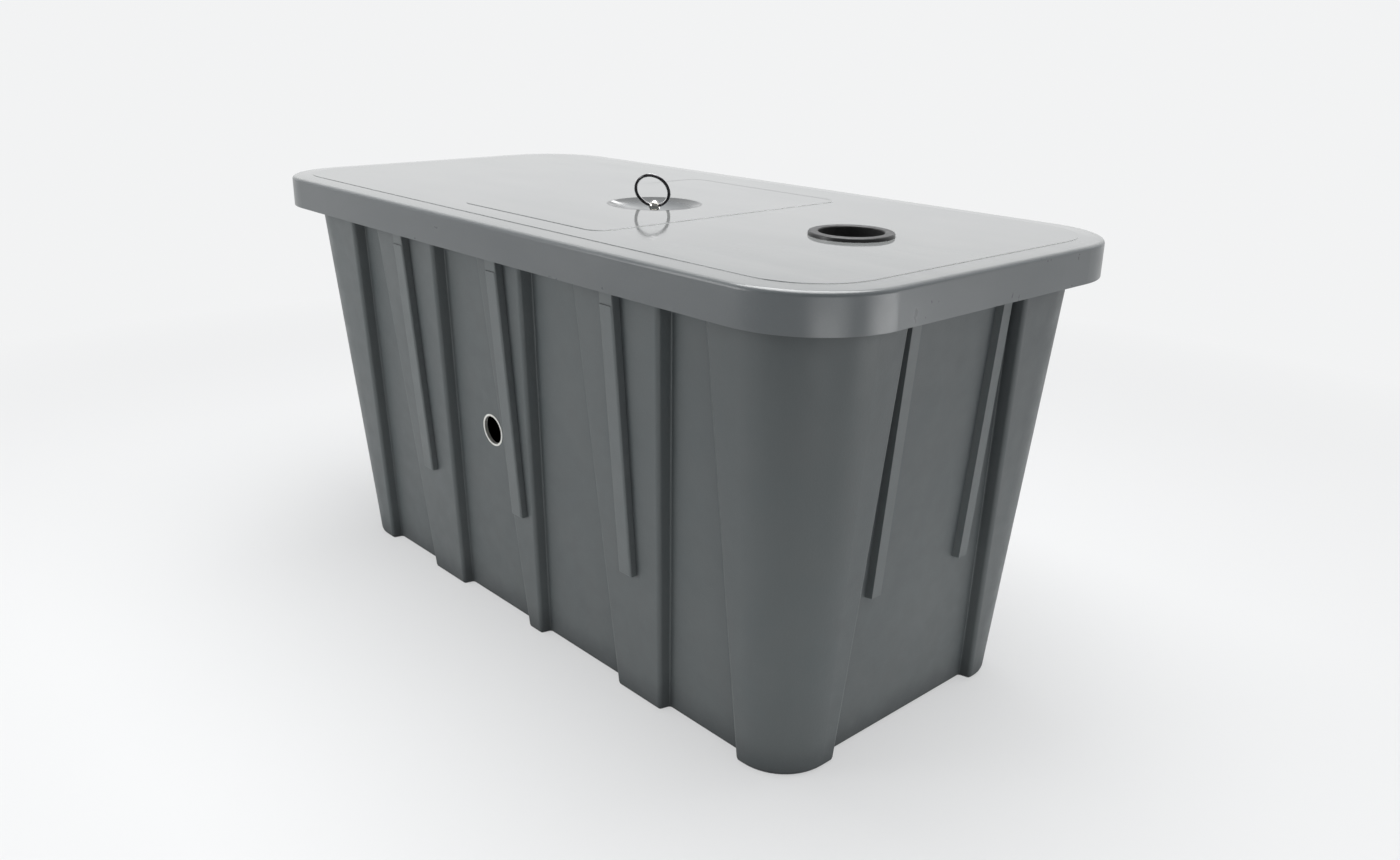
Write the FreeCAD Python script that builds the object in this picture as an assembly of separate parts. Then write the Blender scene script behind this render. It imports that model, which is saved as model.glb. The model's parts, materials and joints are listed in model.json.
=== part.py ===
import FreeCAD, Part
import math
import os

V = FreeCAD.Vector

# Overall sizes
lid_length = 1600.0
lid_width = 800.0
lid_corner_radius = 160.0
total_height = 815.0
skirt_height = 63.0
wall_thickness = 6.0
floor_thickness = 6.0
floor_fillet = 4.0
lid_thickness = 6.0

# How far the lid reaches past the tub, and how much the tub narrows to its foot
lid_overhang_end = 43.0
lid_overhang_side = 42.0
end_taper = 81.0
side_taper = 58.0
foot_corner_radius = 90.0
top_corner_radius = 140.0
bottom_edge_radius = 8.0
foot_shift = 16.0
top_shift = 6.0

# Raised pilasters, corner columns and recessed panels. A side pilaster's half width is its share
# of the bay between the centre pilaster and the corner column.
recess_foot = 20.0
recess_top = 26.0
step_width = 5.0
edge_radius = 8.0
crease_radius = 3.0
pilaster_offset = 25.0
pilaster_share_foot = 57.0 / 544.0
pilaster_share_top = 109.0 / 458.0
centre_half_foot = 20.0
centre_half_top = 70.0
column_long_foot = 112.0
column_long_top = 229.0
column_end_foot = 111.0
column_end_top = 214.0
long_shift_foot = 7.0
long_shift_top = 11.0
end_shift_foot = 9.0
end_shift_top = -9.0

# Stub ribs
rib_width = 32.0
rib_depth_bottom = 13.0
rib_depth_top = 16.0
rib_bottom = 252.0
rib_top = 760.0
rib_cap_bottom = 721.0
rib_cap_step = 1.5
rib_radius = 4.0
end_rib_width = 28.0
end_rib_narrowing = 3.0
end_rib_depth = 12.0
end_rib_bottom = 283.0
end_rib_top = 760.0
end_rib_gap = 29.0
end_rib_shift = -3.5

# Rim under the lid
rim_thickness = 6.0
rim_gap_to_skirt = 7.0
rim_ledge = 67.0
rim_inner_radius = 100.0

# Outlet hole in the front wall
outlet_gap_to_centre = 61.5
outlet_z = 388.0
outlet_bore_radius = 28.0
outlet_sleeve_radius = 32.0
outlet_sleeve_proud = 0.5

# Lid details
skirt_thickness = 6.0
lid_edge_radius = 7.0
border_width = 42.0
border_step = 0.8
border_drop = 1.8
plateau_height = 0.8
plateau_left_of_dish = 230.5
plateau_right_of_dish = 180.5
plateau_gap_front = 90.0
plateau_gap_back = 122.0
plateau_radius = 34.0
lid_bow = 3.0

# Dish, eye bolt and ring
dish_x = 67.5
dish_y = -36.0
dish_radius = 88.0
dish_depth = 14.0
dish_thickness = 4.0
shank_radius = 5.0
shank_length = 34.0
shank_play = 0.05
washer_radius = 12.0
washer_thickness = 2.0
washer_crown = 0.9
nut_radius = 9.0
nut_height = 8.0
collar_radius = 9.5
collar_height = 2.5
eye_radius = 10.5
eye_height = 10.0
eye_play = 0.35
ring_outer_radius = 35.0
ring_wire_radius = 3.2
ring_turn = 31.0
ring_lean = 23.6

# Grommet
grommet_from_end = 288.0
grommet_y = 0.0
grommet_bore_radius = 53.0
grommet_neck_radius = 60.0
grommet_flange_radius = 70.0
grommet_flange_height = 6.5
grommet_round = 3.0
grommet_clamp_radius = 66.0
grommet_clamp_height = 8.0

# Space left over when one solid is cut clean through another
margin = 1.0

# Levels and outline sizes that follow from the sizes above
lid_under = total_height - lid_thickness
rim_under = lid_under - rim_thickness
skirt_bottom = total_height - skirt_height
panel_top = total_height - plateau_height
top_half_length = lid_length / 2 - lid_overhang_end
top_half_width = lid_width / 2 - lid_overhang_side
foot_half_length = top_half_length - end_taper
foot_half_width = top_half_width - side_taper
grommet_x = lid_length / 2 - grommet_from_end
plateau_left = dish_x - plateau_left_of_dish
plateau_right = dish_x + plateau_right_of_dish
plateau_front = plateau_gap_front - lid_width / 2
plateau_back = lid_width / 2 - plateau_gap_back


def blend(low, high, z):
    return low + (high - low) * z / rim_under


# Where the columns and pilasters lie at the height z
def column_long(z):
    return blend(foot_half_length - column_long_foot, top_half_length - column_long_top, z)


def column_end(z):
    return blend(foot_half_width - column_end_foot, top_half_width - column_end_top, z)


def centre_half(z):
    return blend(centre_half_foot, centre_half_top, z)


def bay(z):
    return column_long(z) - centre_half(z)


def side_half(z):
    return blend(pilaster_share_foot * bay(0), pilaster_share_top * bay(rim_under), z)


def spacing(z):
    return (column_long(z) + centre_half(z)) / 2 + pilaster_offset


def body_shift(z):
    return blend(foot_shift, top_shift, z)


def long_shift(z):
    return body_shift(z) + blend(long_shift_foot, long_shift_top, z)


def end_shift(z):
    return blend(end_shift_foot, end_shift_top, z)


def face_y(z):
    return blend(foot_half_width, top_half_width, z)


def recess(z):
    return blend(recess_foot, recess_top, z)


# Body outline at the height z as points with a corner radius each
def full_outline(z):
    half_length = blend(foot_half_length, top_half_length, z)
    corner = blend(foot_corner_radius, top_corner_radius, z)
    half_width = face_y(z)
    inner = half_width - recess(z)
    end_inner = half_length - recess(z)
    far = column_long(z)
    middle = spacing(z)
    side = side_half(z)
    centre = centre_half(z)
    end_edge = column_end(z)
    end_points = [
        (end_inner, end_edge - step_width, -crease_radius),
        (half_length, end_edge, edge_radius),
    ]
    long_points = [
        (far, half_width, edge_radius),
        (far - step_width, inner, -crease_radius),
        (middle + side + step_width, inner, -crease_radius),
        (middle + side, half_width, edge_radius),
        (middle - side, half_width, edge_radius),
        (middle - side - step_width, inner, -crease_radius),
        (centre + step_width, inner, -crease_radius),
        (centre, half_width, edge_radius),
    ]
    points = []
    for x_sign, y_sign in ((1, 1), (-1, 1), (-1, -1), (1, -1)):
        ends = [(x_sign * x + body_shift(z), y_sign * y + end_shift(z), r) for x, y, r in end_points]
        corner_point = [(x_sign * half_length + body_shift(z), y_sign * half_width, corner)]
        sides = [(x_sign * x + long_shift(z), y_sign * y, r) for x, y, r in long_points]
        quarter = ends + corner_point + sides
        if x_sign * y_sign < 0:
            quarter.reverse()
        points = points + quarter
    return points


# Moves every side of a closed outline inwards by the same distance
def inset_outline(points, distance):
    count = len(points)
    moved = []
    for i in range(count):
        before = points[i - 1]
        here = points[i]
        after = points[(i + 1) % count]
        d1 = V(here[0] - before[0], here[1] - before[1], 0).normalize()
        d2 = V(after[0] - here[0], after[1] - here[1], 0).normalize()
        n1 = V(-d1.y, d1.x, 0)
        n2 = V(-d2.y, d2.x, 0)
        step = (n1 + n2) * (distance / (1 + n1.dot(n2)))
        if here[2] > 0:
            radius = max(here[2] - distance, 1.0)
        else:
            radius = here[2] - distance
        moved.append((here[0] + step.x, here[1] + step.y, radius))
    return moved


# A closed wire of lines and arcs through an outline
def rounded_wire(points, z):
    count = len(points)
    starts = []
    arcs = []
    for i in range(count):
        p = V(points[i - 1][0], points[i - 1][1], z)
        q = V(points[i][0], points[i][1], z)
        n = points[(i + 1) % count]
        s = V(n[0], n[1], z)
        back = (p - q).normalize()
        ahead = (s - q).normalize()
        half = back.getAngle(ahead) / 2
        radius = abs(points[i][2])
        reach = radius / math.tan(half)
        centre = q + (back + ahead).normalize() * (radius / math.sin(half))
        middle = centre + (q - centre).normalize() * radius
        starts.append((q + back * reach, q + ahead * reach))
        arcs.append(Part.Arc(q + back * reach, middle, q + ahead * reach).toShape())
    edges = []
    for i in range(count):
        edges.append(arcs[i])
        edges.append(Part.LineSegment(starts[i][1], starts[(i + 1) % count][0]).toShape())
    return Part.Wire(edges)


def body_wire(z, distance):
    return rounded_wire(inset_outline(full_outline(z), distance), z)


# Whole tub, outside and inside
def outer_body():
    wires = []
    for turn in (90, 60, 30, 0):
        angle = math.radians(turn)
        z = bottom_edge_radius * (1 - math.sin(angle))
        wires.append(body_wire(z, bottom_edge_radius * (1 - math.cos(angle))))
    wires.append(body_wire(rim_under, 0.0))
    return Part.makeLoft(wires, True, True)


def inner_body():
    wires = [body_wire(floor_thickness, wall_thickness + floor_fillet)]
    wires.append(body_wire(floor_thickness + floor_fillet, wall_thickness))
    wires.append(body_wire(rim_under, wall_thickness))
    return Part.makeLoft(wires, True, True)


# Space between two leaning planes that cross a long side at the creases
def long_slice(low_left, low_right, high_left, high_right, sign):
    points = [V(low_left, 0, 0), V(low_right, 0, 0), V(high_right, 0, rim_under), V(high_left, 0, rim_under)]
    face = Part.Face(Part.makePolygon(points + [points[0]]))
    return face.extrude(V(0, sign * lid_width, 0))


def long_wall_space(sign):
    foot = column_long(0) - step_width
    top = column_long(rim_under) - step_width
    low = long_shift(0)
    high = long_shift(rim_under)
    return long_slice(low - foot, low + foot, high - top, high + top, sign)


def pilaster_space(place, sign):
    ends = []
    for z in (0, rim_under):
        half = side_half(z) if place else centre_half(z)
        middle = long_shift(z) + place * spacing(z)
        ends.append((middle - half - step_width, middle + half + step_width))
    return long_slice(ends[0][0], ends[0][1], ends[1][0], ends[1][1], sign)


def end_wall_space(sign):
    foot = column_end(0) - step_width
    top = column_end(rim_under) - step_width
    low = end_shift(0)
    high = end_shift(rim_under)
    points = [V(0, low - foot, 0), V(0, low + foot, 0), V(0, high + top, rim_under), V(0, high - top, rim_under)]
    face = Part.Face(Part.makePolygon(points + [points[0]]))
    return face.extrude(V(sign * lid_length, 0, 0))


def corner_space(x_sign, y_sign):
    box = Part.makeBox(lid_length, lid_width, rim_under)
    if x_sign < 0:
        box.translate(V(-lid_length, 0, 0))
    if y_sign < 0:
        box.translate(V(0, -lid_width, 0))
    return box


# Rounded rectangle with gently bowed long sides
def rounded_rectangle(half_length, half_width, radius, z, bow=0.0):
    a = half_length
    b = half_width
    r = radius
    k = r * (1 - math.sqrt(0.5))
    edges = [
        Part.Arc(V(a - r, -b, z), V(a - k, -b + k, z), V(a, -b + r, z)).toShape(),
        Part.LineSegment(V(a, -b + r, z), V(a, b - r, z)).toShape(),
        Part.Arc(V(a, b - r, z), V(a - k, b - k, z), V(a - r, b, z)).toShape(),
        long_edge(V(a - r, b, z), V(r - a, b, z), bow),
        Part.Arc(V(r - a, b, z), V(k - a, b - k, z), V(-a, b - r, z)).toShape(),
        Part.LineSegment(V(-a, b - r, z), V(-a, r - b, z)).toShape(),
        Part.Arc(V(-a, r - b, z), V(k - a, k - b, z), V(r - a, -b, z)).toShape(),
        long_edge(V(r - a, -b, z), V(a - r, -b, z), -bow),
    ]
    return Part.Wire(edges)


def long_edge(start, end, bow):
    if bow == 0.0:
        return Part.LineSegment(start, end).toShape()
    return Part.Arc(start, V(0, start.y + bow, start.z), end).toShape()


# The lid's outline moved inwards by a distance
def lid_outline(distance, z):
    half_length = lid_length / 2 - distance
    half_width = lid_width / 2 - distance
    return rounded_rectangle(half_length, half_width, lid_corner_radius - distance, z, lid_bow)


def plate(wire, height):
    return Part.Face(wire).extrude(V(0, 0, height))


def cylinder(x, y, z, radius, height):
    return Part.makeCylinder(radius, height, V(x, y, z))


def turned(points, x, y):
    face = Part.Face(Part.makePolygon([V(r, 0, z) for r, z in points + [points[0]]]))
    solid = face.revolve(V(0, 0, 0), V(0, 0, 1), 360)
    solid.translate(V(x, y, 0))
    return solid


# Stub rib on a pilaster, its back lying in the sloping face, with a shallower cap behind the skirt
def long_rib(place, sign):
    middle_z = (rib_bottom + rib_cap_bottom) / 2
    x = long_shift(middle_z) + place * spacing(middle_z)
    low = face_y(rib_bottom)
    high = face_y(rib_top)
    cap = face_y(rib_cap_bottom) + rib_depth_top
    left = x - rib_width / 2
    profile = [
        (low, rib_bottom),
        (high, rib_top),
        (high + rib_depth_top - rib_cap_step, rib_top),
        (cap - rib_cap_step, rib_cap_bottom),
        (cap, rib_cap_bottom),
        (low + rib_depth_bottom, rib_bottom),
    ]
    points = [V(left, sign * y, z) for y, z in profile]
    face = Part.Face(Part.makePolygon(points + [points[0]]))
    solid = face.extrude(V(rib_width, 0, 0))
    edges = []
    for edge in solid.Edges:
        middle = edge.CenterOfMass
        if middle.z < rib_cap_bottom and abs(middle.y) - face_y(middle.z) > rib_depth_bottom * 0.7:
            edges.append(edge)
    return solid.makeFillet(rib_radius, edges)


# Stub ribs on an end wall, narrower towards their face
def end_rib(sign, side):
    y = side * (column_end(rim_under) - end_rib_gap) + end_rib_shift
    half = end_rib_width / 2
    levels = []
    for z in (end_rib_bottom, end_rib_top):
        back = sign * (blend(foot_half_length, top_half_length, z) - recess(z)) + body_shift(z)
        face = back + sign * end_rib_depth
        points = [
            V(back, y - half, z),
            V(back, y + half, z),
            V(face, y + half - end_rib_narrowing, z),
            V(face, y - half + end_rib_narrowing, z),
        ]
        levels.append(Part.makePolygon(points + [points[0]]))
    return Part.makeLoft(levels, True, True)


# Lid skirt with its rounded edge and the border that slopes down to it
def lid_skirt():
    edge_top = panel_top - border_step - border_drop
    outer = plate(lid_outline(0, skirt_bottom), edge_top - skirt_bottom)
    slope = Part.makeLoft([lid_outline(0, edge_top), lid_outline(border_width, edge_top + border_drop)], True, True)
    outer = outer.fuse(slope).removeSplitter()
    rounded = []
    for edge in outer.Edges:
        box = edge.BoundBox
        if abs(box.ZMin - edge_top) < 0.01 and abs(box.ZMax - edge_top) < 0.01:
            rounded.append(edge)
    outer = outer.makeFillet(lid_edge_radius, rounded)
    inner = plate(lid_outline(skirt_thickness, skirt_bottom), lid_under - skirt_bottom)
    hole = plate(lid_outline(border_width, lid_under), 2 * lid_thickness)
    return outer.cut(inner).cut(hole)


def lid_panel():
    panel = plate(lid_outline(border_width, lid_under), lid_thickness - plateau_height)
    panel = panel.cut(raised_plate(lid_under - margin, 2 * lid_thickness))
    return panel.cut(cylinder(grommet_x, grommet_y, lid_under - margin, grommet_neck_radius, 2 * lid_thickness))


# Middle of the lid, raised a little above the panel around it
def raised_panel():
    raised = raised_plate(lid_under, lid_thickness)
    return raised.cut(cylinder(dish_x, dish_y, lid_under - margin, dish_radius, 2 * lid_thickness))


def raised_plate(z, height):
    half_length = (plateau_right - plateau_left) / 2
    half_width = (plateau_back - plateau_front) / 2
    raised = plate(rounded_rectangle(half_length, half_width, plateau_radius, z), height)
    raised.translate(V((plateau_left + plateau_right) / 2, (plateau_front + plateau_back) / 2, 0))
    return raised


# Shallow round dish with a flat edge that sits in the hole in the lid
def lid_dish():
    outer = bowl(dish_radius, dish_depth + dish_thickness, 0.0)
    dish = outer.cut(dish_hollow())
    return dish.cut(cylinder(dish_x, dish_y, skirt_bottom, shank_radius, skirt_height))


def dish_hollow():
    return bowl(dish_radius - dish_thickness, dish_depth, margin)


def bowl(radius, depth, lift):
    ball = (radius * radius + depth * depth) / (2 * depth)
    sphere = Part.makeSphere(ball, V(dish_x, dish_y, total_height - depth + ball))
    slab = cylinder(dish_x, dish_y, total_height - depth - margin, radius + dish_thickness, depth + margin + lift)
    return sphere.common(slab)


# Eye bolt with a ball-shaped eye, and the nut and washer below the dish
dish_floor = total_height - dish_depth
washer_bottom = dish_floor - dish_thickness - washer_thickness - washer_crown
ring_centre_radius = ring_outer_radius - ring_wire_radius
ring_pin = V(dish_x, dish_y, dish_floor + eye_height)
ring_across = V(math.cos(math.radians(ring_turn)), math.sin(math.radians(ring_turn)), 0)
ring_facing = V(-math.sin(math.radians(ring_turn)), math.cos(math.radians(ring_turn)), 0)


def eye_bolt():
    z = dish_floor - shank_length
    shank = cylinder(dish_x, dish_y, z, shank_radius - shank_play, shank_length + eye_height / 2)
    collar = cylinder(dish_x, dish_y, dish_floor - margin, collar_radius, collar_height + margin)
    head = Part.makeSphere(eye_radius, ring_pin).fuse(collar).common(dish_hollow().fuse(space_above_dish()))
    return head.fuse(shank).cut(eye_hole()).removeSplitter()


def space_above_dish():
    return cylinder(dish_x, dish_y, total_height, dish_radius, eye_radius + eye_height)


# Hole in the eye, wider at its ends so that the curved ring can turn in it
def eye_hole():
    reach = eye_radius + margin
    waist = ring_wire_radius + eye_play
    mouth = waist + eye_play + ring_centre_radius - math.sqrt(ring_centre_radius ** 2 - reach ** 2)
    start = V(-reach, 0, mouth)
    end = V(reach, 0, mouth)
    edges = [
        Part.LineSegment(V(-reach, 0, 0), start).toShape(),
        Part.Arc(start, V(0, 0, waist), end).toShape(),
        Part.LineSegment(end, V(reach, 0, 0)).toShape(),
        Part.LineSegment(V(reach, 0, 0), V(-reach, 0, 0)).toShape(),
    ]
    hole = Part.Face(Part.Wire(edges)).revolve(V(0, 0, 0), V(1, 0, 0), 360)
    hole.rotate(V(0, 0, 0), V(0, 0, 1), ring_turn)
    hole.translate(ring_pin)
    return hole


# The ring stands in the eye and leans a little to the front
def lifting_ring():
    centre = ring_pin + V(0, 0, ring_centre_radius)
    ring = Part.makeTorus(ring_centre_radius, ring_wire_radius, centre, ring_facing)
    ring.rotate(ring_pin, ring_across, ring_lean)
    return ring


def lower_washer():
    disc = cylinder(dish_x, dish_y, washer_bottom, washer_radius, washer_thickness + washer_crown)
    disc = disc.cut(cylinder(dish_x, dish_y, washer_bottom - margin, shank_radius, shank_length))
    return disc.cut(bowl(dish_radius, dish_depth + dish_thickness, 0.0))


def lower_nut():
    z = washer_bottom - nut_height
    points = []
    for i in range(6):
        turn = math.radians(60 * i)
        points.append(V(dish_x + nut_radius * math.cos(turn), dish_y + nut_radius * math.sin(turn), z))
    hexagon = Part.Face(Part.makePolygon(points + [points[0]])).extrude(V(0, 0, nut_height))
    return hexagon.cut(cylinder(dish_x, dish_y, z - margin, shank_radius, shank_length))


# Rubber grommet that grips the edge of the pipe hole in the lid
def lid_grommet():
    crown = panel_top + grommet_flange_height
    points = [
        (grommet_bore_radius, lid_under - grommet_clamp_height),
        (grommet_clamp_radius, lid_under - grommet_clamp_height),
        (grommet_clamp_radius, lid_under),
        (grommet_neck_radius, lid_under),
        (grommet_neck_radius, panel_top),
        (grommet_flange_radius, panel_top),
        (grommet_flange_radius, crown),
        (grommet_bore_radius, crown),
    ]
    grommet = turned(points, grommet_x, grommet_y)
    rounded = []
    for edge in grommet.Edges:
        if abs(edge.BoundBox.ZMin - crown) < 0.01 and edge.Length > 2 * grommet_bore_radius:
            rounded.append(edge)
    return grommet.makeFillet(grommet_round, rounded)


# Flat rim that the lid rests on
def tank_rim():
    reach = skirt_thickness + rim_gap_to_skirt
    outer = plate(
        rounded_rectangle(lid_length / 2 - reach, lid_width / 2 - reach, lid_corner_radius - reach, rim_under),
        rim_thickness)
    hole = plate(
        rounded_rectangle(
            top_half_length - rim_ledge, top_half_width - rim_ledge, rim_inner_radius, rim_under - margin),
        rim_thickness + 2 * margin)
    return outer.cut(hole)


# The outlet lies beside the centre pilaster and stands square to the leaning panel
def outlet_x():
    return long_shift(outlet_z) - centre_half(outlet_z) - step_width - outlet_gap_to_centre


def outlet_cylinder(radius, extra):
    slope = (face_y(rim_under) - recess(rim_under) - face_y(0) + recess(0)) / rim_under
    inwards = V(0, 1, slope).normalize()
    surface = V(outlet_x(), recess(outlet_z) - face_y(outlet_z), outlet_z)
    length = outlet_sleeve_proud + wall_thickness + 2 * extra
    return Part.makeCylinder(radius, length, surface - inwards * (outlet_sleeve_proud + extra), inwards)


def outlet_sleeve():
    return outlet_cylinder(outlet_sleeve_radius, 0).cut(outlet_cylinder(outlet_bore_radius, margin))


def save(shape, name):
    shape.exportStep("parts/" + name + ".step")


# Pilasters and the panels between them, on one long side
def save_long_side(shell, sign, side_name):
    wall = shell.common(long_wall_space(sign))
    pilasters = []
    for place, place_name in ((-1, "left"), (0, "centre"), (1, "right")):
        space = pilaster_space(place, sign)
        save(wall.common(space), side_name + "_" + place_name + "_pilaster")
        pilasters.append(space)
    panels = wall.cut(pilasters)
    plain = []
    for panel in panels.Solids:
        box = panel.BoundBox
        if box.YMax < 0 and box.XMin < outlet_x() < box.XMax:
            save(panel.cut(outlet_cylinder(outlet_sleeve_radius, wall_thickness)), "outlet_panel")
        else:
            plain.append(panel)
    save(Part.makeCompound(plain), side_name + "_panels")
    save(Part.makeCompound([long_rib(place, sign) for place in (-1, 0, 1)]), side_name + "_ribs")


def main():
    os.makedirs("parts", exist_ok=True)
    outside = outer_body()
    shell = outside.cut(inner_body())
    floor_slab = Part.makeBox(
        lid_length, lid_width, floor_thickness, V(-lid_length / 2, -lid_width / 2, 0))
    save(outside.common(floor_slab), "tank_floor")
    shell = shell.cut(floor_slab)
    save_long_side(shell, -1, "front")
    save_long_side(shell, 1, "rear")
    for sign, name in ((1, "right"), (-1, "left")):
        save(shell.common(end_wall_space(sign)), name + "_end_wall")
        save(Part.makeCompound([end_rib(sign, side) for side in (-1, 1)]), name + "_end_ribs")
    spaces = [long_wall_space(-1), long_wall_space(1), end_wall_space(1), end_wall_space(-1)]
    corners = shell.cut(spaces)
    for y_sign, y_name in ((-1, "front"), (1, "rear")):
        for x_sign, x_name in ((1, "right"), (-1, "left")):
            save(corners.common(corner_space(x_sign, y_sign)), y_name + "_" + x_name + "_corner")
    save(tank_rim(), "tank_rim")
    save(outlet_sleeve(), "outlet_sleeve")
    save(lid_skirt(), "lid_skirt")
    save(lid_panel(), "lid_panel")
    save(raised_panel(), "raised_panel")
    save(lid_dish(), "lid_dish")
    save(lid_grommet(), "lid_grommet")
    save(eye_bolt(), "eye_bolt")
    save(lower_washer(), "lower_washer")
    save(lower_nut(), "lower_nut")
    save(lifting_ring(), "lifting_ring")


main()
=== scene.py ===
import json
import math

import bmesh
import bpy
from mathutils import Matrix, Vector


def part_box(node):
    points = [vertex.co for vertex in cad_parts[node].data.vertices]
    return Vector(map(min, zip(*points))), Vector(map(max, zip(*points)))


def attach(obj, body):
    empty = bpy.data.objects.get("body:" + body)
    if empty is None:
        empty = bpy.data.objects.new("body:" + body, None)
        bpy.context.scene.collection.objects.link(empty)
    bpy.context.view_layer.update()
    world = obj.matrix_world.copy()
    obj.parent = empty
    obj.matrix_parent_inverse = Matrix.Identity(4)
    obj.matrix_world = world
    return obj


# The tank in its finishes, on a pale floor in soft studio light
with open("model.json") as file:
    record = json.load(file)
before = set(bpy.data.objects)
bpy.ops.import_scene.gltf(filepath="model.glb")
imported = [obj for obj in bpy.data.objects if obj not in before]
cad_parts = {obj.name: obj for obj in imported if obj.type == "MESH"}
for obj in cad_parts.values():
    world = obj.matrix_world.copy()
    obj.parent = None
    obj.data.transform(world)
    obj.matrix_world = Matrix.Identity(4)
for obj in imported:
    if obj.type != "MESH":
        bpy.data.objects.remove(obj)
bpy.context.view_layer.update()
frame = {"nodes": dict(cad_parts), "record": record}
nodes = frame["nodes"]
record = frame["record"]

# Camera of the photograph: place in metres, turns in radians,
# focal length in pixels of a frame 1400 pixels wide
CAMERA_PLACE = (1.7086, -1.4363, 1.1271)
CAMERA_YAW = 0.8216
CAMERA_PITCH = 0.3368
CAMERA_ROLL = 0.0193
FOCAL_PIXELS = 1154.5
FRAME_PIXELS = 1400.0
SENSOR_MM = 36.0
FAR_CLIP = 200.0

# World: the tone it shows, the tone and strength of its light from all round,
# the horizontal direction of the side that looks dim in reflections,
# how far towards that side it starts and is full, and how bright it is there
PALE = (0.89, 0.895, 0.90)
SKY = (0.97, 0.985, 1.0)
AMBIENT = 0.35
DIM_SIDE = (0.73, -0.68)
DIM_FROM = -0.1
DIM_FULL = 0.6
DIM_STRENGTH = 0.3

# Floor: its radius, its tones, the tone that lights the tank from below, and the strength
# of the shadow that it keeps, which fades out between two distances from the middle
FLOOR_RADIUS = 40.0
FLOOR_DARK = (0.70, 0.705, 0.71)
FLOOR_LIGHT = (0.74, 0.745, 0.75)
FLOOR_BOUNCE = (0.60, 0.605, 0.61)
SHADOW_STRENGTH = 0.45
SHADOW_NEAR = 0.9
SHADOW_FAR = 3.0

# Tones of the walls, from the ground tone to the layers on it; the crease tone is painted shade
WALL_DARK = (0.074, 0.088, 0.091)
WALL_LIGHT = (0.090, 0.103, 0.105)
WALL_PATCH = (0.108, 0.112, 0.110)
WALL_STREAK = (0.072, 0.083, 0.088)
WALL_SPECK = (0.13, 0.135, 0.135)
WALL_PAINTED_LIGHT = (0.17, 0.185, 0.187)
WALL_CREASE_SHADE = (0.014, 0.017, 0.020)

# Painted shade: the right end of the tank grows darker upwards and outwards, between these heights
# and lengths
END_SHADE = (0.022, 0.028, 0.032)
END_SHADE_SHARE = 0.45
END_SHADE_Z = (0.2, 0.76)
END_SHADE_X = (0.38, 0.70)

# Painted shade in creases: how far a crease is felt, how open it is where the painted shade is
# darkest and where it ends, and what it adds to the roughness
CREASE_REACH = 0.085
CREASE_DARKEST = 0.28
CREASE_END = 0.88
CREASE_ROUGH = 0.35
CREASE_SAMPLES = 12

# Tones of the lid's top, painted lighter than its sides to stand in for the light it reflects, with
# its lighter streaks and its specks, and tones of its sides
TOP_DARK = (0.178, 0.185, 0.186)
TOP_LIGHT = (0.205, 0.211, 0.210)
TOP_STREAK = (0.25, 0.253, 0.25)
TOP_SPECK = (0.18, 0.185, 0.185)
SIDE_DARK = (0.092, 0.102, 0.107)
SIDE_LIGHT = (0.108, 0.117, 0.121)
SIDE_SPECK = (0.15, 0.155, 0.155)

# The lid is polished, and painted lighter as painted light, down to this depth under the raised
# middle, and ever less over the fade
POLISH_AND_PAINTED_LIGHT_DEPTH = 0.0025
POLISH_AND_PAINTED_LIGHT_FADE = 0.004

# Step round the raised middle, with painted light on its right side and painted shade on its other
# sides
STEP_DIM = (0.20, 0.21, 0.21)
STEP_RIGHT = (0.85, 0.86, 0.86)

# Painted shade: a dark line at the rear of the raised middle, between two distances inside its
# rounded edge.
# It fades in on the way to the rear edge, and out just short of the right edge
RAISED_CORNER = 0.034
LINE_TONE = (0.045, 0.048, 0.05)
LINE_INNER = 0.009
LINE_INNER_FULL = 0.007
LINE_OUTER_FULL = 0.001
LINE_BEFORE_REAR = 0.16
LINE_BEFORE_REAR_FULL = 0.10
LINE_BEFORE_RIGHT = 0.01
LINE_BEFORE_RIGHT_FULL = 0.03

# Painted shade: the dish grows darker between two distances inside its edge
DISH_SHADE = (0.012, 0.014, 0.016)
DISH_SHADE_SHARE = 0.75
DISH_SHADE_LEAST = 0.35
DISH_SHADE_FROM = 0.068
DISH_SHADE_FULL = 0.008
DISH_EDGE_SOFT = 0.0005

# Rubber, its dust, and the black painted shade inside its bore, which ends a little outside the
# bore's wall
RUBBER_DARK = (0.005, 0.005, 0.006)
RUBBER_DUST = (0.016, 0.016, 0.016)
BORE_BLACK = (0.001, 0.001, 0.001)
BORE_ROUGH = 0.5
BORE_BLACK_FULL = 0.0002
BORE_BLACK_END = 0.0015
SEAL = next(mount for mount in record["mounts"] if mount["name"] == "lid_pipe_seal")
BORE_RADIUS = SEAL["dims"]["r_mm"] / 1000.0

# Steel: painted reflection, with tones where it faces the eye and at its rims, and its smears
RING_FACE = (0.015, 0.015, 0.017)
RING_RIM = (1.0, 1.0, 1.0)
EYE_FACE = (0.62, 0.61, 0.57)
EYE_RIM = (0.30, 0.30, 0.30)
STEEL_SMEAR = (0.4, 0.4, 0.4)
EDGE_DARK = (0.62, 0.62, 0.58)
EDGE_LIGHT = (0.80, 0.80, 0.76)

# Bead where the ring's wire is joined: its place and its half sizes
BEAD_PLACE = (0.0930, -0.0480, 0.8648)
BEAD_SIZE = (0.0034, 0.0034, 0.0024)

# A vector times this keeps only its X and Y
FLAT = (1.0, 1.0, 0.0)


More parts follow.
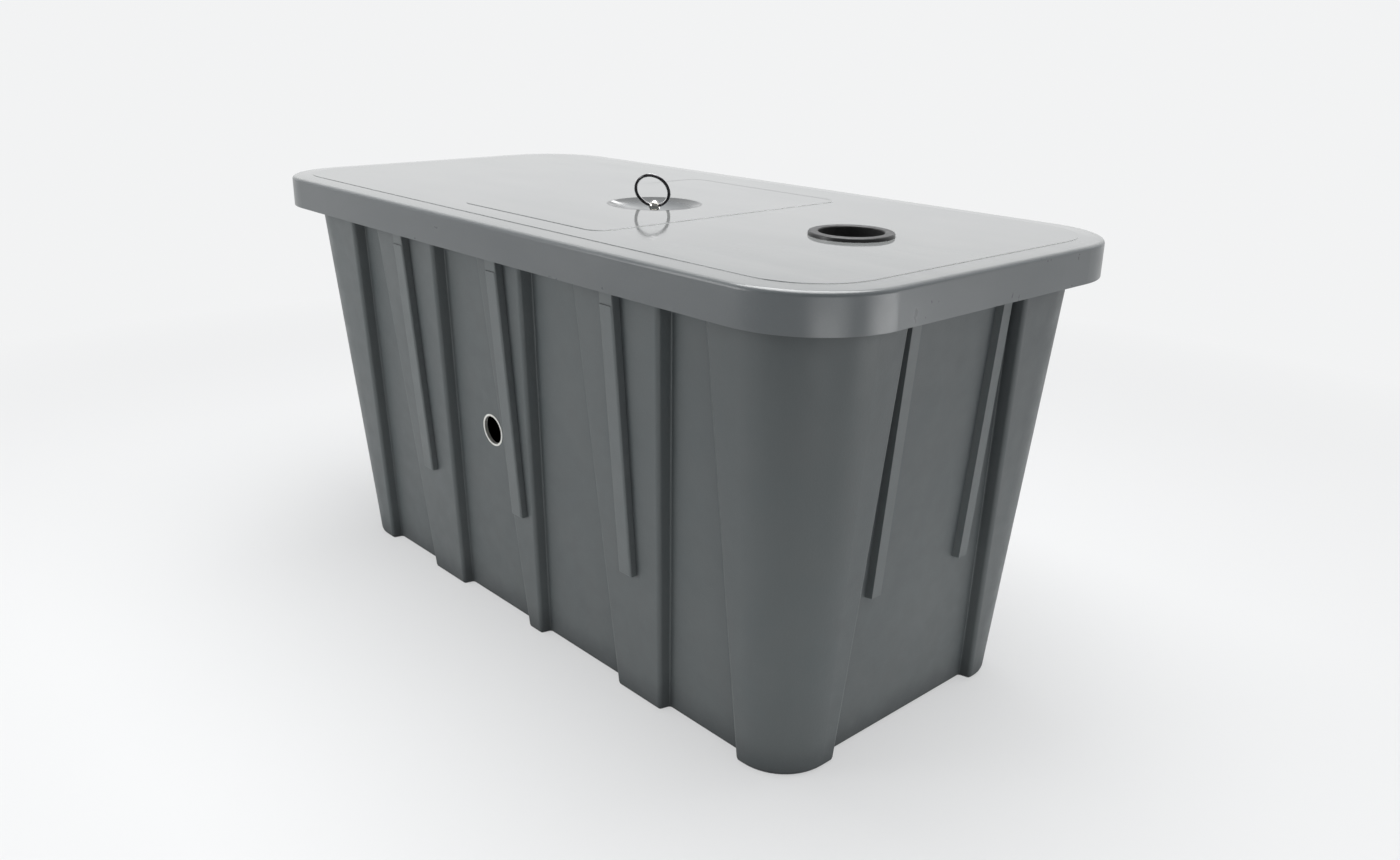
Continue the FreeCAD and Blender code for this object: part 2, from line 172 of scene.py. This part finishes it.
# Builds the shader nodes of one material or world
class Tree:
    def __init__(self, owner, output="ShaderNodeOutputMaterial"):
        owner.use_nodes = True
        self.owner = owner
        self.nodes = owner.node_tree.nodes
        self.links = owner.node_tree.links
        self.nodes.clear()
        self.out = self.add(output)
        self.coordinates = self.add("ShaderNodeTexCoord")
        self.place = self.coordinates.outputs["Object"]

    # Links a socket to another node's output, or sets it to a number, tone or vector
    def feed(self, socket, value):
        if isinstance(value, bpy.types.NodeSocket):
            self.links.new(value, socket)
        elif socket.type == "RGBA":
            socket.default_value = value + (1.0,)
        else:
            socket.default_value = value

    # Adds a node with its settings and with inputs given by name or number
    def add(self, kind, inputs=None, **settings):
        node = self.nodes.new(kind)
        for key, value in settings.items():
            setattr(node, key, value)
        for key, value in (inputs or {}).items():
            self.feed(node.inputs[key], value)
        return node

    # Shows a shader, and gives the finished material or world
    def show(self, shader):
        self.feed(self.out.inputs["Surface"], shader)
        return self.owner

    def noise(self, scale, detail=3.0, rough=0.5, stretch=(1.0, 1.0, 1.0)):
        mapping = self.add("ShaderNodeMapping", {"Vector": self.place, "Scale": stretch})
        node = self.add("ShaderNodeTexNoise", {
            "Vector": mapping.outputs["Vector"],
            "Scale": scale,
            "Detail": detail,
            "Roughness": rough,
        })
        return node.outputs["Fac"]

    # Goes from low to high while a value goes from start to end
    def span(self, value, low, high, start=0.3, end=0.7):
        node = self.add("ShaderNodeMapRange", {
            "Value": value,
            "From Min": start,
            "From Max": end,
            "To Min": low,
            "To Max": high,
        })
        return node.outputs["Result"]

    def calc(self, kind, first, second):
        return self.add("ShaderNodeMath", {0: first, 1: second}, operation=kind).outputs[0]

    def times(self, first, second):
        return self.calc("MULTIPLY", first, second)

    def plus(self, first, second):
        return self.calc("ADD", first, second)

    def mix(self, amount, first, second):
        node = self.add("ShaderNodeMix", data_type="RGBA")
        used = {s.name: s for s in node.inputs if s.enabled}
        for name, value in (("Factor", amount), ("A", first), ("B", second)):
            self.feed(used[name], value)
        return next(s for s in node.outputs if s.enabled)

    # Lays a tone over a colour, up to a share of it, while a value goes from start to end
    def lay(self, colour, tone, value, share=1.0, start=0.3, end=0.7):
        return self.mix(self.span(value, 0.0, share, start, end), colour, tone)

    def bump(self, height, distance, strength, after=None):
        inputs = {"Height": height, "Distance": distance, "Strength": strength}
        if after is not None:
            inputs["Normal"] = after
        return self.add("ShaderNodeBump", inputs).outputs["Normal"]

    # How open a place is: 1 on free surfaces, falling to 0 deep in a crease
    def open_sky(self, distance):
        node = self.add("ShaderNodeAmbientOcclusion", {"Distance": distance}, samples=CREASE_SAMPLES)
        return node.outputs["AO"]

    def vector(self, kind, *inputs):
        node = self.add("ShaderNodeVectorMath", dict(enumerate(inputs)), operation=kind)
        return node.outputs["Value" if kind == "LENGTH" else "Vector"]

    def axis(self, name, vector=None):
        return self.add("ShaderNodeSeparateXYZ", {0: vector or self.place}).outputs[name]

    # Distance from the upright axis through the middle of a box
    def off_axis(self, low, high):
        apart = self.vector("SUBTRACT", self.place, (low + high) / 2)
        return self.vector("LENGTH", self.vector("MULTIPLY", apart, FLAT))

    # Distance outwards from the edge of a box with rounded corners, seen from above
    def off_outline(self, low, high, radius):
        half = (high - low) / 2 - Vector((radius, radius, 0.0))
        apart = self.vector("ABSOLUTE", self.vector("SUBTRACT", self.place, (low + high) / 2))
        apart = self.vector("MULTIPLY", self.vector("SUBTRACT", apart, half), FLAT)
        outside = self.vector("LENGTH", self.vector("MAXIMUM", apart, (0.0, 0.0, 0.0)))
        inside = self.calc("MAXIMUM", self.axis("X", apart), self.axis("Y", apart))
        inside = self.calc("MINIMUM", inside, 0.0)
        return self.calc("SUBTRACT", self.plus(outside, inside), radius)

    def mix_shaders(self, amount, first, second):
        return self.add("ShaderNodeMixShader", {0: amount, 1: first, 2: second}).outputs[0]

    # The one shader of a solid surface
    def surface(self, colour, rough, normal, metallic=0.0):
        node = self.add("ShaderNodeBsdfPrincipled", {
            "Base Color": colour,
            "Roughness": rough,
            "Normal": normal,
            "Metallic": metallic,
        })
        return self.show(node.outputs["BSDF"])


# Moulded grey plastic of the walls: matt and finely grained, with painted shade in its creases
# and towards the top of the right end, and painted light that makes the ribs paler
def wall_plastic(name, crease_shade_share, painted_light):
    t = Tree(bpy.data.materials.new(name))
    broad = t.noise(2.6, detail=4.0, rough=0.55)
    patches = t.noise(15.0, detail=4.0, rough=0.6)
    streaks = t.noise(9.0, stretch=(1.0, 1.0, 0.12))
    speck = t.noise(420.0, detail=2.0, rough=0.6)
    colour = t.lay(WALL_DARK, WALL_LIGHT, broad)
    colour = t.lay(colour, WALL_PATCH, patches, share=0.3)
    colour = t.lay(colour, WALL_STREAK, streaks, share=0.2)
    colour = t.lay(colour, WALL_SPECK, speck, share=0.15, start=0.55, end=0.75)
    # Painted shade towards the top of the right end
    upwards = t.span(t.axis("Z"), 0.0, 1.0, *END_SHADE_Z)
    outwards = t.span(t.axis("X"), 0.0, END_SHADE_SHARE, *END_SHADE_X)
    colour = t.mix(t.times(upwards, outwards), colour, END_SHADE)
    # Painted light: the ribs are mixed towards a paler tone
    colour = t.mix(painted_light, colour, WALL_PAINTED_LIGHT)
    # Painted shade in the creases, deepest where a place is least open
    crease_shade = t.span(t.open_sky(CREASE_REACH), 1.0, 0.0, CREASE_DARKEST, CREASE_END)
    crease_shade = t.times(crease_shade, crease_shade_share)
    colour = t.mix(crease_shade, colour, WALL_CREASE_SHADE)
    rough = t.span(t.noise(30.0), low=0.38, high=0.50)
    rough = t.plus(rough, t.times(crease_shade, CREASE_ROUGH))
    grain = t.bump(t.noise(380.0, rough=0.6), distance=0.0006, strength=0.32)
    dents = t.bump(t.noise(46.0, detail=2.0), distance=0.0016, strength=0.16, after=grain)
    normal = t.bump(t.noise(6.0, detail=2.0), distance=0.006, strength=0.10, after=dents)
    return t.surface(colour, rough, normal)


# Painted light and shade on the step round the raised middle of the lid, and the painted shade line
# at its rear
def raised_edge(t, colour, top):
    facing = t.add("ShaderNodeNewGeometry").outputs["Normal"]
    # Painted light on the step's right side and painted shade on its other sides
    tone = t.lay(STEP_DIM, STEP_RIGHT, t.axis("X", facing), start=0.4, end=0.8)
    step = t.span(t.axis("Z", facing), 1.0, 0.0, start=0.2, end=0.6)
    colour = t.mix(t.times(step, top), colour, tone)
    low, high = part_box("raised_panel")
    rear = t.span(t.axis("Y"), 0.0, 1.0, high.y - LINE_BEFORE_REAR, high.y - LINE_BEFORE_REAR_FULL)
    left = t.span(t.axis("X"), 1.0, 0.0, high.x - LINE_BEFORE_RIGHT_FULL, high.x - LINE_BEFORE_RIGHT)
    margin = t.off_outline(low, high, RAISED_CORNER)
    inner = t.span(margin, 0.0, 1.0, -LINE_INNER, -LINE_INNER_FULL)
    outer = t.span(margin, 1.0, 0.0, -LINE_OUTER_FULL, 0.0)
    where = t.times(t.times(rear, left), top)
    # Painted shade: a dark line along the rear of the raised middle
    return t.mix(t.times(where, t.times(inner, outer)), colour, LINE_TONE)


# Painted shade in the dish in the lid, darker towards its edge
def dish_shade(t, colour):
    low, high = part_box("lid_dish")
    edge = (high.x - low.x) / 2
    away = t.off_axis(low, high)
    deep = t.span(away, DISH_SHADE_LEAST, 1.0, edge - DISH_SHADE_FROM, edge - DISH_SHADE_FULL)
    within = t.span(away, 1.0, 0.0, edge - DISH_EDGE_SOFT, edge + DISH_EDGE_SOFT)
    return t.mix(t.times(t.times(deep, within), DISH_SHADE_SHARE), colour, DISH_SHADE)


# The lid is the same plastic with a polished skin on its top, which is painted lighter than the
# sides as painted light, and faint lighter streaks there
def lid_plastic():
    t = Tree(bpy.data.materials.new("lid_plastic"))
    broad = t.noise(3.1, detail=4.0, rough=0.55)
    lid_streaks = t.noise(12.0, detail=4.0, rough=0.6, stretch=(0.25, 1.6, 1.0))
    scuffs = t.noise(15.0, detail=4.0, rough=0.6, stretch=(0.4, 1.5, 1.0))
    waves = t.noise(20.0, stretch=(0.5, 1.4, 1.0))
    speck = t.noise(360.0, detail=2.0, rough=0.6)
    colour = t.lay(TOP_DARK, TOP_LIGHT, broad)
    colour = t.lay(colour, TOP_STREAK, lid_streaks, share=0.35)
    colour = t.lay(colour, TOP_SPECK, speck, share=0.15, start=0.55, end=0.75)
    side = t.lay(SIDE_DARK, SIDE_LIGHT, broad)
    side = t.lay(side, SIDE_SPECK, speck, share=0.15, start=0.55, end=0.75)
    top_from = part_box("raised_panel")[1].z - POLISH_AND_PAINTED_LIGHT_DEPTH
    top = t.span(t.axis("Z"), 0.0, 1.0, top_from - POLISH_AND_PAINTED_LIGHT_FADE, top_from)
    # Painted light: the top takes the lighter tones, standing in for the bright light it reflects
    colour = t.mix(top, side, colour)
    colour = raised_edge(t, colour, top)
    colour = dish_shade(t, colour)
    dull = t.span(scuffs, low=0.26, high=0.36)
    clear = t.span(lid_streaks, low=0.02, high=0.10)
    rough = t.plus(t.times(top, clear), t.times(t.calc("SUBTRACT", 1.0, top), dull))
    grain = t.bump(t.noise(300.0, detail=2.0), distance=0.0003, strength=0.05)
    normal = t.bump(waves, distance=0.002, strength=0.02, after=grain)
    return t.surface(colour, rough, normal)


# Black rubber of the grommet, dusty outside, with black painted shade inside its bore
def rubber():
    t = Tree(bpy.data.materials.new("seal_rubber"))
    dust = t.noise(60.0, detail=4.0, rough=0.6)
    colour = t.lay(RUBBER_DARK, RUBBER_DUST, dust, share=0.5)
    low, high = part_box("lid_grommet")
    away = t.off_axis(low, high)
    inside = t.span(away, 1.0, 0.0, BORE_RADIUS + BORE_BLACK_FULL, BORE_RADIUS + BORE_BLACK_END)
    colour = t.mix(inside, colour, BORE_BLACK)
    rough = t.plus(t.span(t.noise(90.0), low=0.28, high=0.42), t.times(inside, BORE_ROUGH))
    normal = t.bump(t.noise(500.0, detail=2.0), distance=0.0003, strength=0.2)
    return t.surface(colour, rough, normal)


# Polished steel, with a painted reflection: one tone where it faces the eye and another at its rims
def bright_steel(name, face, rim):
    t = Tree(bpy.data.materials.new(name))
    turned = t.add("ShaderNodeLayerWeight", {"Blend": 0.5}).outputs["Facing"]
    # Painted reflection: the tone changes from where the steel faces the eye to its rims
    colour = t.lay(face, rim, turned, start=0.37, end=0.56)
    colour = t.lay(colour, STEEL_SMEAR, t.noise(220.0), share=0.2)
    rough = t.span(t.noise(340.0, rough=0.6), low=0.06, high=0.14)
    normal = t.bump(t.noise(700.0, detail=2.0), distance=0.0001, strength=0.2)
    return t.surface(colour, rough, normal, metallic=1.0)


# Pale cut edge in the outlet hole
def cut_edge():
    t = Tree(bpy.data.materials.new("socket_edge"))
    colour = t.lay(EDGE_DARK, EDGE_LIGHT, t.noise(160.0))
    rough = t.span(t.noise(260.0, rough=0.6), low=0.3, high=0.45)
    normal = t.bump(t.noise(400.0, detail=2.0), distance=0.0002, strength=0.3)
    return t.surface(colour, rough, normal, metallic=0.6)


# Names of the nodes that the record gives one finish
def in_slot(slot):
    return [part["node"] for part in record["subparts"] if part["material_slot"] == slot]


def dress(names, material):
    for name in names:
        mesh = nodes[name].data
        mesh.materials.clear()
        mesh.materials.append(material)


# Bead where the ring's wire is joined
def ring_bead(material):
    mesh = bpy.data.meshes.new("ring_bead")
    form = bmesh.new()
    bmesh.ops.create_uvsphere(form, u_segments=20, v_segments=12, radius=1.0)
    bmesh.ops.scale(form, vec=BEAD_SIZE, verts=form.verts)
    for face in form.faces:
        face.smooth = True
    form.to_mesh(mesh)
    form.free()
    mesh.materials.append(material)
    bead = bpy.data.objects.new("ring_bead", mesh)
    bpy.context.scene.collection.objects.link(bead)
    bead.location = BEAD_PLACE
    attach(bead, "ring")


# The camera looks ahead and down from its place, rolled a little
def place_camera():
    level = Vector((-math.sin(CAMERA_YAW), math.cos(CAMERA_YAW), 0.0))
    ahead = level * math.cos(CAMERA_PITCH) - Vector((0.0, 0.0, math.sin(CAMERA_PITCH)))
    right = Vector((math.cos(CAMERA_YAW), math.sin(CAMERA_YAW), 0.0))
    up = right.cross(ahead)
    tilted_right = right * math.cos(CAMERA_ROLL) + up * math.sin(CAMERA_ROLL)
    tilted_up = up * math.cos(CAMERA_ROLL) - right * math.sin(CAMERA_ROLL)
    data = bpy.data.cameras.new("photo_camera")
    data.sensor_width = SENSOR_MM
    data.lens = FOCAL_PIXELS * SENSOR_MM / FRAME_PIXELS
    data.clip_end = FAR_CLIP
    camera = bpy.data.objects.new("photo_camera", data)
    bpy.context.scene.collection.objects.link(camera)
    turn = Matrix((tilted_right, tilted_up, -ahead)).transposed().to_4x4()
    camera.matrix_world = Matrix.Translation(CAMERA_PLACE) @ turn
    bpy.context.scene.camera = camera


# A rectangular lamp, with its sides in metres and its power in watts.
# It lights everything, or only the nodes that are named
def soft_light(name, place, target, width, height, power, only=()):
    data = bpy.data.lights.new(name, "AREA")
    data.shape = "RECTANGLE"
    data.size = width
    data.size_y = height
    data.energy = power
    light = bpy.data.objects.new(name, data)
    if only:
        lit = bpy.data.collections.new(name + "_lit")
        for node in only:
            lit.objects.link(nodes[node])
        light.light_linking.receiver_collection = lit
    bpy.context.scene.collection.objects.link(light)
    light.location = place
    light.rotation_euler = (Vector(target) - Vector(place)).to_track_quat("-Z", "Y").to_euler()
    light.visible_camera = False


# The world lights softly and shows pale, and one side of it looks dim in reflections
def studio_world():
    t = Tree(bpy.data.worlds.new("studio"), "ShaderNodeOutputWorld")

    def background(colour, strength):
        return t.add("ShaderNodeBackground", {"Color": colour, "Strength": strength}).outputs[0]

    path = t.add("ShaderNodeLightPath").outputs
    seen = t.calc("MAXIMUM", path["Is Camera Ray"], path["Is Transmission Ray"])
    way = t.coordinates.outputs["Generated"]
    facing = t.plus(t.times(t.axis("X", way), DIM_SIDE[0]), t.times(t.axis("Y", way), DIM_SIDE[1]))
    dim = t.span(facing, 0.0, 1.0, DIM_FROM, DIM_FULL)
    mirrored = t.mix_shaders(dim, background(PALE, 1.0), background(PALE, DIM_STRENGTH))
    unseen = t.mix_shaders(path["Is Glossy Ray"], background(SKY, AMBIENT), mirrored)
    shown = t.mix_shaders(seen, unseen, background(PALE, 1.0))
    bpy.context.scene.world = t.show(shown)


# The floor shows as pale as the background, keeps the shadow near the tank,
# and lights the tank from below in a plain tone of its own
def floor_cloth():
    t = Tree(bpy.data.materials.new("pale_floor"))
    path = t.add("ShaderNodeLightPath").outputs
    seen = t.calc("MAXIMUM", path["Is Camera Ray"], path["Is Transmission Ray"])
    seen = t.calc("MAXIMUM", seen, path["Is Glossy Ray"])
    near = t.span(t.vector("LENGTH", t.place), SHADOW_STRENGTH, 0.0, SHADOW_NEAR, SHADOW_FAR)
    tone = t.lay(FLOOR_DARK, FLOOR_LIGHT, t.noise(0.6, detail=2.0))
    pale = t.add("ShaderNodeEmission", {"Color": PALE}).outputs[0]
    shaded = t.add("ShaderNodeBsdfDiffuse", {"Color": tone}).outputs[0]
    under = t.add("ShaderNodeBsdfDiffuse", {"Color": FLOOR_BOUNCE}).outputs[0]
    shown = t.mix_shaders(near, pale, shaded)
    return t.show(t.mix_shaders(seen, under, shown))


def pale_floor():
    mesh = bpy.data.meshes.new("floor")
    form = bmesh.new()
    bmesh.ops.create_circle(form, cap_ends=True, segments=96, radius=FLOOR_RADIUS)
    form.to_mesh(mesh)
    form.free()
    mesh.materials.append(floor_cloth())
    floor = bpy.data.objects.new("floor", mesh)
    bpy.context.scene.collection.objects.link(floor)


# The ribs are of the walls' plastic, painted paler as painted light, and with less painted shade in
# their creases
walls = in_slot("tank_plastic")
ribs = [name for name in walls if name.endswith("_ribs")]
dress(walls, wall_plastic("wall_plastic", crease_shade_share=0.85, painted_light=0.0))
dress(ribs, wall_plastic("rib_plastic", crease_shade_share=0.45, painted_light=0.3))
dress(in_slot("lid_plastic"), lid_plastic())
dress(in_slot("seal_rubber"), rubber())
dress(in_slot("socket_steel"), cut_edge())
eye_steel = bright_steel("eye_steel", EYE_FACE, EYE_RIM)
dress(in_slot("bright_steel"), eye_steel)
dress(["lifting_ring"], bright_steel("ring_steel", RING_FACE, RING_RIM))
ring_bead(eye_steel)

place_camera()
studio_world()
pale_floor()
soft_light("overhead", place=(0.1, 0.2, 3.2), target=(0.1, 0.0, 0.6),
           width=3.0, height=2.4, power=140.0)
soft_light("front_left", place=(-1.7, -3.5, 1.3), target=(0.0, -0.3, 0.4),
           width=1.8, height=1.8, power=56.0)
soft_light("end_light", place=(3.0, 1.2, 0.12), target=(0.75, 0.0, 0.0),
           width=1.6, height=0.22, power=15.0)
soft_light("low_fill", place=(2.9, -1.4, 0.12), target=(0.3, -0.3, 0.1),
           width=1.6, height=0.22, power=10.0)
soft_light("end_strip", place=(3.66, -1.13, 0.7), target=(0.77, -0.33, 0.7),
           width=0.4, height=1.2, power=1.2)
soft_light("dish_glare", place=(-2.0, 1.93, 1.8), target=(0.02, -0.05, 0.806),
           width=0.42, height=0.30, power=1.3, only=("lid_dish", "eye_bolt"))

bpy.context.scene.view_settings.view_transform = "Standard"
